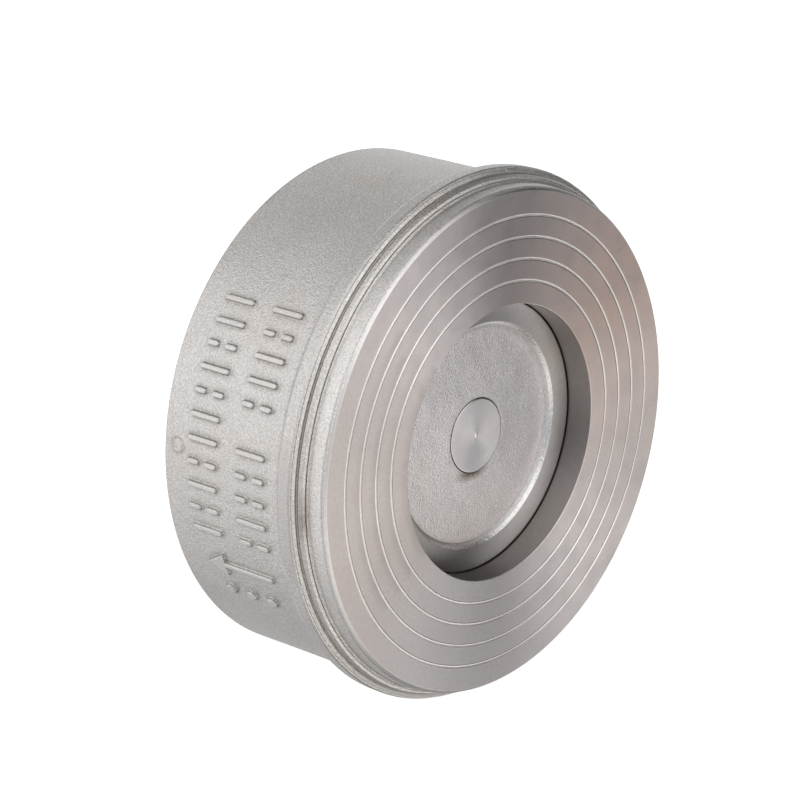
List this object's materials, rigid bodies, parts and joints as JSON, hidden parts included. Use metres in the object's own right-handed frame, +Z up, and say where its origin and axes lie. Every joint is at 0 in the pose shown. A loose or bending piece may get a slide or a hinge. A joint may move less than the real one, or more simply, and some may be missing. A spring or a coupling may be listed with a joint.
{
  "type": "wafer check valve",
  "caption": "Short cylindrical wafer check valve with a grooved inlet face, a raised rim bead and a spring-loaded disc on a guide stem that lifts off its seat.",
  "frame": {"origin": "centre of the inlet face, on the flow axis", "axes": "+Y along the flow axis from the inlet face to the outlet face, +Z up with the flow axis level, +X to the right seen from the inlet"},
  "size_m": [0.1178, 0.046, 0.1178],
  "materials": {
    "cast_stainless": "satin blasted casting with fine-turned sealing faces",
    "disc_stainless": "turned seat band round a rough cast middle",
    "turned_stainless": "fine turned",
    "fastener_steel": "bright stainless",
    "pressed_stainless": "turned cup",
    "spring_wire": "drawn wire, semi-bright",
    "cast_bracket": "satin blasted casting",
    "bush_plastic": "off-white bearing plastic",
    "circlip_steel": "dark spring steel"
  },
  "bodies": {
    "housing": {"body": "cast_stainless", "guide_bracket": "cast_bracket", "guide_bush": "bush_plastic", "retaining_ring": "circlip_steel", "spring_seat": "pressed_stainless", "spring": "spring_wire"},
    "follower": {"spring_follower": "pressed_stainless"},
    "disc": {"disc": "disc_stainless", "stem": "turned_stainless", "disc_washer": "fastener_steel", "lock_washer": "fastener_steel", "stem_nut": "fastener_steel"}
  },
  "joints": [
    {"name": "disc_lift", "type": "slide", "parent": "housing", "child": "follower", "axis": [0, 1, 0], "range_m": [0, 0.01], "stiffness_N_per_m": 1040, "springref_m": -0.007, "deforming": ["spring"]},
    {"name": "disc_turn", "type": "hinge", "parent": "follower", "child": "disc", "pos_m": [0, 0.0115, 0], "axis": [0, 1, 0], "continuous": true}
  ]
}
